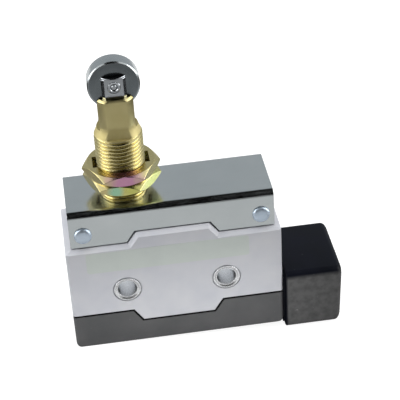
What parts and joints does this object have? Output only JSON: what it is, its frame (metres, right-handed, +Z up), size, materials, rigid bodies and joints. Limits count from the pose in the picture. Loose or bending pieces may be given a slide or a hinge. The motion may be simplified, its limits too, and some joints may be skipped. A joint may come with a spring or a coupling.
{
  "type": "roller limit switch",
  "caption": "Enclosed limit switch with a panel-mount roller plunger, a folded metal cover, two side mounting holes and a rubber terminal boot.",
  "frame": {"origin": "underside of the base, midway between the two mounting holes", "axes": "+X along the housing to the terminal boot, +Y from the front face to the rear face, +Z up along the plunger"},
  "size_m": [0.0698, 0.022, 0.0795],
  "materials": {
    "black_base": "moulded phenolic, satin",
    "grey_body": "moulded polyester, satin",
    "black_rubber": "moulded rubber, semi-matt",
    "cover_sheet": "bright zinc plated sheet",
    "bright_steel": "bright zinc plated",
    "yellow_zinc": "yellow chromate passivated",
    "plunger_steel": "turned and ground",
    "roller_steel": "hardened and ground",
    "spring_steel": "drawn wire",
    "button_plastic": "moulded",
    "blade_copper": "stamped spring alloy",
    "contact_silver": "headed silver",
    "terminal_brass": "stamped and folded"
  },
  "bodies": {
    "housing": {"base": "black_base", "body_shell": "grey_body", "base_packing": "black_rubber", "top_cover": "cover_sheet", "cover_rivets": "bright_steel", "mounting_eyelets": "bright_steel", "bushing": "yellow_zinc", "lower_lock_nut": "yellow_zinc", "upper_lock_nut": "yellow_zinc", "spring_seat": "plunger_steel", "rod_seal": "black_rubber", "com_terminal": "terminal_brass", "no_terminal": "terminal_brass", "nc_terminal": "terminal_brass", "no_contact": "contact_silver", "nc_contact": "contact_silver", "terminal_screws": "bright_steel", "terminal_washers": "terminal_brass", "return_spring": "spring_steel"},
    "plunger_fork": {"plunger": "plunger_steel", "roller_axle": "plunger_steel", "rod_retainer": "plunger_steel", "overtravel_spring": "spring_steel"},
    "roller_wheel": {"roller": "roller_steel"},
    "actuator": {"push_rod": "plunger_steel", "switch_button": "button_plastic"},
    "contact_blade": {"moving_blade": "blade_copper", "moving_contact": "contact_silver"},
    "boot": {"terminal_boot": "black_rubber"}
  },
  "joints": [
    {"name": "plunger_slide", "type": "slide", "parent": "housing", "child": "plunger_fork", "axis": [0, 0, -1], "range_m": [0, 0.005], "stiffness_N_per_m": 1200, "springref_m": -0.005, "deforming": ["return_spring", "overtravel_spring"]},
    {"name": "roller_spin", "type": "hinge", "parent": "plunger_fork", "child": "roller_wheel", "pos_m": [-0.0108, 0, 0.0709], "axis": [0, 1, 0], "continuous": true},
    {"name": "actuator_slide", "type": "slide", "parent": "housing", "child": "actuator", "axis": [0, 0, -1], "range_m": [0, 0.00045]},
    {"name": "blade_hinge", "type": "hinge", "parent": "housing", "child": "contact_blade", "pos_m": [-0.0202, 0, 0.024], "axis": [0, 1, 0], "range_deg": [0, 2.8]},
    {"name": "boot_pull", "type": "slide", "parent": "housing", "child": "boot", "axis": [1, 0, 0], "range_m": [0, 0.016]}
  ],
  "couplings": [
    {"joint": "actuator_slide", "follows": "plunger_slide", "ratio": 0.09},
    {"joint": "blade_hinge", "follows": "plunger_slide", "rad_per_m": 9.5745}
  ]
}
